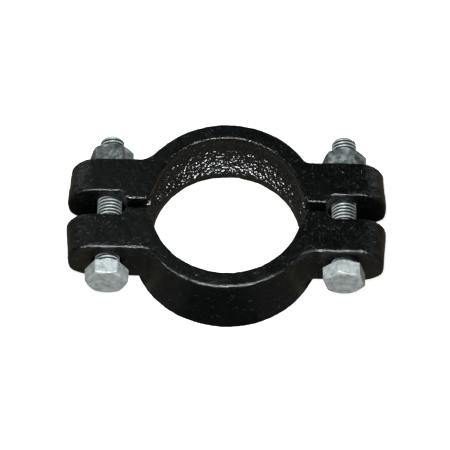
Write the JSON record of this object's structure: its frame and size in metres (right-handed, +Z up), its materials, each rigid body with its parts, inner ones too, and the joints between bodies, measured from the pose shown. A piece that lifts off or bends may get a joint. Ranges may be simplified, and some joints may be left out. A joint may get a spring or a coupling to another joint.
{
  "type": "split pipe coupling clamp",
  "caption": "Two-piece bolted pipe coupling: cast half rings with a channelled bore and side ears, drawn together round a pipe joint by bolts and nuts.",
  "frame": {"origin": "on the pipe axis at the middle of the clamp's height, at the centre of the rear half's bore", "axes": "+Z up along the pipe axis, +X from the left ear to the right ear, +Y along the bolts from their heads to their nuts"},
  "size_m": [0.1508, 0.0946, 0.035],
  "materials": {
    "black_paint": "gloss black paint over rough sand-cast iron",
    "galvanised_steel": "dull hot-dip zinc, slightly mottled"
  },
  "bodies": {
    "clamp_half_rear": {"clamp_half_rear": "black_paint"},
    "clamp_half_front": {"clamp_half_front": "black_paint"},
    "bolt_left": {"bolt_left": "galvanised_steel"},
    "bolt_right": {"bolt_right": "galvanised_steel"},
    "nut_left": {"nut_left": "galvanised_steel"},
    "nut_right": {"nut_right": "galvanised_steel"}
  },
  "joints": [
    {"name": "clamp_close", "type": "slide", "parent": "clamp_half_rear", "child": "clamp_half_front", "axis": [0, 1, 0], "range_m": [-0.00358, 0.00435]},
    {"name": "bolt_left_draw", "type": "slide", "parent": "clamp_half_rear", "child": "bolt_left", "axis": [0, 1, 0], "range_m": [-0.007, 0.0085]},
    {"name": "bolt_right_draw", "type": "slide", "parent": "clamp_half_rear", "child": "bolt_right", "axis": [0, 1, 0], "range_m": [-0.00535, 0.0065]},
    {"name": "nut_left_turn", "type": "hinge", "parent": "clamp_half_rear", "child": "nut_left", "pos_m": [-0.0554, 0.0281, 0.0045], "axis": [0, -1, 0], "range_deg": [-1439.86, 1748.58]},
    {"name": "nut_right_turn", "type": "hinge", "parent": "clamp_half_rear", "child": "nut_right", "pos_m": [0.0554, 0.0281, 0.0045], "axis": [0, -1, 0], "range_deg": [-1101.07, 1337.15]}
  ],
  "couplings": [
    {"joint": "bolt_left_draw", "follows": "clamp_close", "ratio": 1.954},
    {"joint": "bolt_right_draw", "follows": "clamp_close", "ratio": 1.4943},
    {"joint": "nut_left_turn", "follows": "clamp_close", "rad_per_m": 7015.7},
    {"joint": "nut_right_turn", "follows": "clamp_close", "rad_per_m": 5365}
  ]
}
